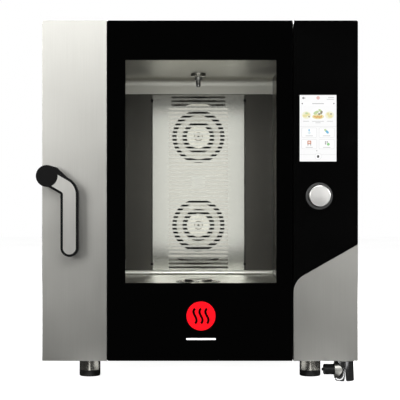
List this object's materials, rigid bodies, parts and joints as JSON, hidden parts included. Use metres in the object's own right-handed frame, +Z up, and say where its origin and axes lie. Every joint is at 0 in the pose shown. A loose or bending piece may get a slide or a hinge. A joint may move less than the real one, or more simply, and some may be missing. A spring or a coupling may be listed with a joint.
{
  "type": "combi steamer oven",
  "caption": "Floor or stand mounted convection and steam oven with a side-hinged glazed door, bent lever handle, slotted fan baffle, touch display and control knob.",
  "frame": {"origin": "on the floor, under the centre of the oven's bounding box", "axes": "+X to the right seen from the front, +Y towards the rear panel, +Z up"},
  "size_m": [0.8593, 1.002, 1.008],
  "materials": {
    "outer_steel": "satin brushed sheet",
    "door_steel": "fine brushed sheet",
    "inner_steel": "plain sheet",
    "cavity_steel": "bright rolled sheet",
    "baffle_steel": "bright brushed sheet",
    "screw_steel": "turned",
    "fan_steel": "pressed sheet",
    "element_alloy": "oxidised tube",
    "motor_casting": "cast",
    "mineral_wool": "fibrous",
    "pipe_steel": "drawn tube",
    "chrome": "polished",
    "brass": "machined",
    "black_plastic": "fine grain",
    "black_glass": "gloss",
    "clear_glass": "gloss",
    "black_enamel": "fired enamel",
    "display_glass": "gloss",
    "gasket_rubber": "silicone",
    "sleeve_steel": "turned",
    "foot_plastic": "moulded",
    "badge_enamel": "enamel",
    "handle_plastic": "moulded",
    "handle_steel": "fine brushed",
    "shaft_steel": "turned",
    "knob_aluminium": "brushed satin"
  },
  "bodies": {
    "cabinet": {"base_frame": "outer_steel", "left_side_panel": "outer_steel", "right_side_panel": "outer_steel", "top_panel": "outer_steel", "rear_panel": "outer_steel", "front_frame": "outer_steel", "cavity_ceiling": "cavity_steel", "cavity_floor": "cavity_steel", "cavity_left_wall": "cavity_steel", "cavity_right_wall": "cavity_steel", "rear_wall_panels": "cavity_steel", "fan_baffle": "baffle_steel", "baffle_screws": "screw_steel", "fan_chamber": "cavity_steel", "upper_heating_element": "element_alloy", "lower_heating_element": "element_alloy", "upper_fan_motor": "motor_casting", "lower_fan_motor": "motor_casting", "cavity_insulation": "mineral_wool", "wash_pipe": "pipe_steel", "drain_strainer": "cavity_steel", "drain_pipe": "cavity_steel", "steam_vent": "cavity_steel", "water_inlet": "brass", "cable_gland": "black_plastic", "control_housing": "outer_steel", "lower_corner_panel": "door_steel", "control_glass": "black_glass", "touch_display": "display_glass", "knob_bezel": "black_plastic", "encoder": "black_plastic", "hinge_brackets": "inner_steel", "latch_striker": "inner_steel", "door_gasket": "gasket_rubber", "spray_bracket": "inner_steel", "spray_bell": "chrome", "foot_sleeves": "sleeve_steel"},
    "door": {"door_frame": "inner_steel", "door_steel_strip": "door_steel", "outer_glass": "clear_glass", "glass_border": "black_enamel", "inner_glass": "clear_glass", "glass_clips": "inner_steel", "hinge_bushes": "brass", "handle_bush": "brass", "badge": "badge_enamel"},
    "handle": {"handle_grip": "handle_plastic", "handle_inlay": "handle_steel", "handle_shaft": "shaft_steel", "latch_hook": "shaft_steel"},
    "knob_stem": {"knob_shaft": "shaft_steel"},
    "knob": {"control_knob": "knob_aluminium"},
    "upper_fan": {"upper_fan_wheel": "fan_steel"},
    "lower_fan": {"lower_fan_wheel": "fan_steel"},
    "nozzle": {"wash_nozzle": "chrome"},
    "spray_tap": {"spray_knob": "black_plastic"},
    "front_left_foot": {"foot_front_left": "foot_plastic"},
    "front_right_foot": {"foot_front_right": "foot_plastic"},
    "rear_left_foot": {"foot_rear_left": "foot_plastic"},
    "rear_right_foot": {"foot_rear_right": "foot_plastic"}
  },
  "joints": [
    {"name": "door_hinge", "type": "hinge", "parent": "cabinet", "child": "door", "pos_m": [0.24045, -0.4304, 0.52], "axis": [0, 0, 1], "range_deg": [0, 110]},
    {"name": "handle_turn", "type": "hinge", "parent": "door", "child": "handle", "pos_m": [-0.40065, -0.439, 0.5587], "axis": [0, -1, 0], "range_deg": [0, 70]},
    {"name": "knob_push", "type": "slide", "parent": "cabinet", "child": "knob_stem", "axis": [0, 1, 0], "range_m": [0, 0.001], "stiffness_N_per_m": 2000, "springref_m": -0.0005},
    {"name": "knob_turn", "type": "hinge", "parent": "knob_stem", "child": "knob", "pos_m": [0.32535, -0.439, 0.5055], "axis": [0, -1, 0], "continuous": true},
    {"name": "upper_fan_spin", "type": "hinge", "parent": "cabinet", "child": "upper_fan", "pos_m": [-0.0004, 0.26, 0.6954], "axis": [0, -1, 0], "continuous": true},
    {"name": "lower_fan_spin", "type": "hinge", "parent": "cabinet", "child": "lower_fan", "pos_m": [-0.0004, 0.26, 0.415], "axis": [0, -1, 0], "continuous": true},
    {"name": "nozzle_spin", "type": "hinge", "parent": "cabinet", "child": "nozzle", "pos_m": [-0.0004, 0.016, 0.859], "axis": [0, 0, 1], "continuous": true},
    {"name": "spray_tap_turn", "type": "hinge", "parent": "cabinet", "child": "spray_tap", "pos_m": [0.36965, -0.399, 0.035], "axis": [1, 0, 0], "range_deg": [0, 90]},
    {"name": "front_left_foot_level", "type": "slide", "parent": "cabinet", "child": "front_left_foot", "axis": [0, 0, -1], "range_m": [0, 0.025]},
    {"name": "front_right_foot_level", "type": "slide", "parent": "cabinet", "child": "front_right_foot", "axis": [0, 0, -1], "range_m": [0, 0.025]},
    {"name": "rear_left_foot_level", "type": "slide", "parent": "cabinet", "child": "rear_left_foot", "axis": [0, 0, -1], "range_m": [0, 0.025]},
    {"name": "rear_right_foot_level", "type": "slide", "parent": "cabinet", "child": "rear_right_foot", "axis": [0, 0, -1], "range_m": [0, 0.025]}
  ]
}
